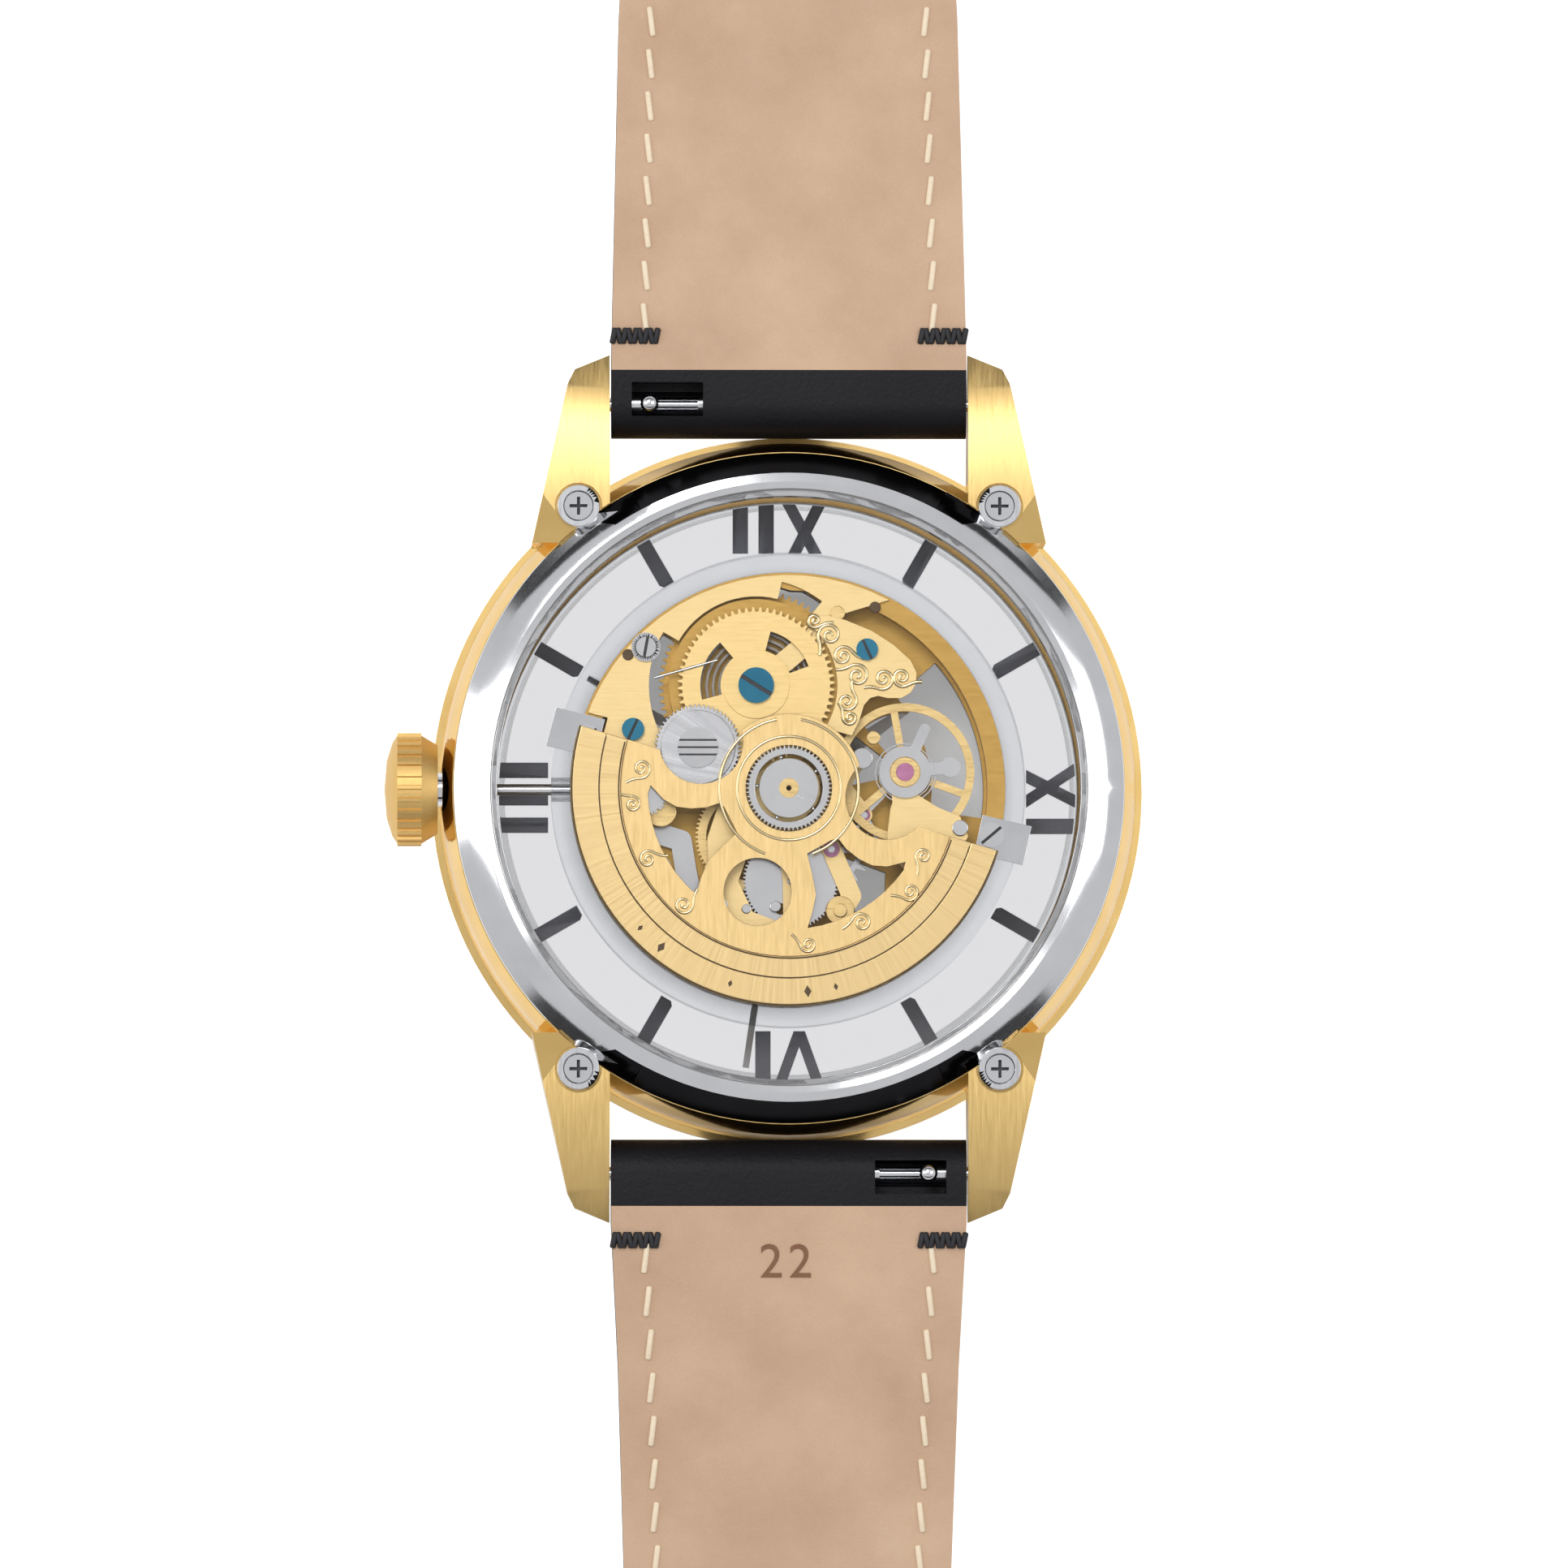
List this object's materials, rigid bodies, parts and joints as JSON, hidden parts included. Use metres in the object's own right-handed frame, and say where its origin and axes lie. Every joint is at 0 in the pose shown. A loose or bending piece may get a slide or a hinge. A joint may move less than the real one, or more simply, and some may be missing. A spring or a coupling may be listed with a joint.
{
  "type": "wristwatch",
  "caption": "Automatic skeleton wristwatch with a see-through case back, pierced winding rotor, screwed case-back ring and padded leather strap with pin buckle, lying face down.",
  "frame": {"origin": "centre of the flat outer face of the front crystal, on which the watch lies face down", "axes": "+Z out of the case back, +Y towards twelve o'clock, -X towards the crown"},
  "size_m": [0.0469, 0.2562, 0.012],
  "materials": {
    "gold_plate": "polished gold plate over steel",
    "polished_steel": "polished stainless steel",
    "brushed_gold": "brushed gold-coloured brass",
    "movement_gold": "fine-grained gold-coloured brass",
    "movement_steel": "polished movement steel",
    "blued_steel": "heat-blued steel",
    "ruby": "polished synthetic ruby",
    "mineral_glass": "clear mineral glass",
    "clear_plastic": "clear acrylic",
    "marker_grey": "satin grey",
    "hand_white": "white lacquer",
    "gasket": "black nitrile",
    "black_leather": "smooth black calf",
    "tan_lining": "tan nubuck lining"
  },
  "bodies": {
    "case": {"mid_case": "gold_plate", "bezel": "gold_plate", "front_crystal": "mineral_glass", "case_gaskets": "gasket", "case_back_ring": "polished_steel", "case_back_crystal": "mineral_glass", "case_back_screws": "polished_steel", "crown_tube": "polished_steel", "hour_markers": "marker_grey", "dial": "clear_plastic", "flange_ring": "clear_plastic", "main_plate": "movement_gold", "movement_holder": "clear_plastic", "movement_clamps": "polished_steel", "barrel_bridge": "movement_gold", "scroll_bridge": "movement_gold", "train_bridge": "movement_gold", "balance_cock": "movement_gold", "regulator": "movement_steel", "jewels": "ruby", "blued_screws": "blued_steel", "steel_screws": "movement_steel", "setting_lever": "movement_steel", "rotor_bearing_inner": "movement_steel"},
    "rotor": {"rotor_plate": "brushed_gold", "rotor_weight": "brushed_gold", "rotor_bearing_outer": "movement_steel"},
    "crown_slider": {"crown_seal": "gasket"},
    "crown": {"crown": "gold_plate", "winding_stem": "movement_steel"},
    "winding_pinion": {"winding_pinion": "movement_steel"},
    "transfer_wheel": {"transfer_wheel": "movement_steel"},
    "crown_wheel": {"crown_wheel": "movement_steel"},
    "ratchet": {"ratchet_wheel": "movement_gold", "ratchet_screw": "movement_gold"},
    "minute": {"minute_hand": "hand_white", "cannon_pinion": "movement_gold"},
    "minute_wheel": {"minute_wheel": "movement_gold"},
    "hour": {"hour_hand": "hand_white", "hour_wheel": "movement_gold"},
    "seconds": {"seconds_hand": "hand_white"},
    "centre_wheel": {"centre_wheel": "movement_gold"},
    "third_wheel": {"third_wheel": "movement_gold"},
    "fourth_wheel": {"fourth_wheel": "movement_steel"},
    "escape_wheel": {"escape_wheel": "movement_steel"},
    "barrel": {"barrel": "movement_gold"},
    "pallet_fork": {"pallet_fork": "movement_steel"},
    "balance": {"balance_wheel": "movement_gold"},
    "strap_top": {"strap_top_leather": "black_leather", "strap_top_lining": "tan_lining", "strap_top_bars": "polished_steel", "fixed_keeper": "black_leather"},
    "strap_lower": {"strap_lower_leather": "black_leather", "strap_lower_lining": "tan_lining", "strap_lower_bar": "polished_steel"},
    "quick_release_top": {"quick_release_top": "polished_steel"},
    "quick_release_lower": {"quick_release_lower": "polished_steel"},
    "free_keeper": {"free_keeper": "black_leather"},
    "buckle_frame": {"buckle_frame": "gold_plate"},
    "buckle_tongue": {"buckle_tongue": "gold_plate"}
  },
  "joints": [
    {"name": "rotor_turn", "type": "hinge", "parent": "case", "child": "rotor", "pos_m": [0, 0, 0.0097], "axis": [0, 0, 1], "continuous": true},
    {"name": "crown_pull", "type": "slide", "parent": "case", "child": "crown_slider", "axis": [-1, 0, 0], "range_m": [0, 0.0012]},
    {"name": "crown_turn", "type": "hinge", "parent": "crown_slider", "child": "crown", "pos_m": [-0.023, 0, 0.0073], "axis": [1, 0, 0], "continuous": true},
    {"name": "winding_pinion_turn", "type": "hinge", "parent": "case", "child": "winding_pinion", "pos_m": [-0.00754, 0, 0.0073], "axis": [1, 0, 0], "continuous": true},
    {"name": "transfer_wheel_turn", "type": "hinge", "parent": "case", "child": "transfer_wheel", "pos_m": [-0.00898, 0, 0.0088], "axis": [0, 0, 1], "continuous": true},
    {"name": "crown_wheel_turn", "type": "hinge", "parent": "case", "child": "crown_wheel", "pos_m": [-0.0056, 0.00255, 0.0089], "axis": [0, 0, 1], "continuous": true},
    {"name": "ratchet_turn", "type": "hinge", "parent": "case", "child": "ratchet", "pos_m": [-0.002, 0.0064, 0.0086], "axis": [0, 0, 1], "continuous": true},
    {"name": "hand_setting", "type": "hinge", "parent": "case", "child": "minute", "pos_m": [0, 0, 0.0027], "axis": [0, 0, 1], "continuous": true},
    {"name": "minute_wheel_turn", "type": "hinge", "parent": "case", "child": "minute_wheel", "pos_m": [0.0017, -0.00123, 0.0042], "axis": [0, 0, 1], "continuous": true},
    {"name": "hour_turn", "type": "hinge", "parent": "case", "child": "hour", "pos_m": [0, 0, 0.0039], "axis": [0, 0, 1], "continuous": true},
    {"name": "seconds_turn", "type": "hinge", "parent": "case", "child": "seconds", "pos_m": [0, 0, 0.0074], "axis": [0, 0, 1], "continuous": true},
    {"name": "centre_wheel_turn", "type": "hinge", "parent": "case", "child": "centre_wheel", "pos_m": [0, 0, 0.0062], "axis": [0, 0, 1], "continuous": true},
    {"name": "third_wheel_turn", "type": "hinge", "parent": "case", "child": "third_wheel", "pos_m": [-0.00236, -0.00291, 0.0074], "axis": [0, 0, 1], "continuous": true},
    {"name": "fourth_wheel_turn", "type": "hinge", "parent": "case", "child": "fourth_wheel", "pos_m": [0.00015, -0.00569, 0.0079], "axis": [0, 0, 1], "continuous": true},
    {"name": "escape_wheel_turn", "type": "hinge", "parent": "case", "child": "escape_wheel", "pos_m": [0.00265, -0.0037, 0.007], "axis": [0, 0, 1], "continuous": true},
    {"name": "barrel_turn", "type": "hinge", "parent": "case", "child": "barrel", "pos_m": [-0.002, 0.0064, 0.007], "axis": [0, 0, 1], "continuous": true},
    {"name": "pallet_swing", "type": "hinge", "parent": "case", "child": "pallet_fork", "pos_m": [0.0047, -0.00155, 0.007], "axis": [0, 0, 1], "range_deg": [-6, 6]},
    {"name": "balance_swing", "type": "hinge", "parent": "case", "child": "balance", "pos_m": [0.0072, 0.00105, 0.0077], "axis": [0, 0, 1], "range_deg": [-135, 135], "stiffness_Nm_per_rad": 0.00000024},
    {"name": "strap_top_hinge", "type": "hinge", "parent": "case", "child": "strap_top", "pos_m": [0, 0.02375, 0.0085], "axis": [1, 0, 0], "range_deg": [-20, 95]},
    {"name": "strap_lower_hinge", "type": "hinge", "parent": "case", "child": "strap_lower", "pos_m": [0, -0.02375, 0.0085], "axis": [-1, 0, 0], "range_deg": [-20, 95]},
    {"name": "quick_release_top_slide", "type": "slide", "parent": "strap_top", "child": "quick_release_top", "axis": [1, 0, 0], "range_m": [0, 0.0022], "stiffness_N_per_m": 100},
    {"name": "quick_release_lower_slide", "type": "slide", "parent": "strap_lower", "child": "quick_release_lower", "axis": [-1, 0, 0], "range_m": [0, 0.0022], "stiffness_N_per_m": 100},
    {"name": "free_keeper_slide", "type": "slide", "parent": "strap_top", "child": "free_keeper", "axis": [0, -1, 0], "range_m": [-0.0023, 0.005]},
    {"name": "buckle_hinge", "type": "hinge", "parent": "strap_top", "child": "buckle_frame", "pos_m": [0, 0.09875, 0.00475], "axis": [1, 0, 0], "range_deg": [-8, 65]},
    {"name": "tongue_hinge", "type": "hinge", "parent": "buckle_frame", "child": "buckle_tongue", "pos_m": [0, 0.09875, 0.00475], "axis": [1, 0, 0], "range_deg": [0, 60]}
  ],
  "couplings": [
    {"joint": "winding_pinion_turn", "follows": "crown_turn", "ratio": 1},
    {"joint": "transfer_wheel_turn", "follows": "crown_turn", "ratio": -0.8},
    {"joint": "crown_wheel_turn", "follows": "crown_turn", "ratio": 0.49655},
    {"joint": "ratchet_turn", "follows": "crown_turn", "ratio": -0.058418},
    {"joint": "minute_wheel_turn", "follows": "hand_setting", "ratio": -0.33333},
    {"joint": "hour_turn", "follows": "hand_setting", "ratio": 0.083333},
    {"joint": "centre_wheel_turn", "follows": "seconds_turn", "ratio": 0.016667},
    {"joint": "third_wheel_turn", "follows": "seconds_turn", "ratio": -0.13333},
    {"joint": "fourth_wheel_turn", "follows": "seconds_turn", "ratio": 1},
    {"joint": "escape_wheel_turn", "follows": "seconds_turn", "ratio": -9},
    {"joint": "barrel_turn", "follows": "seconds_turn", "ratio": -0.002381}
  ]
}
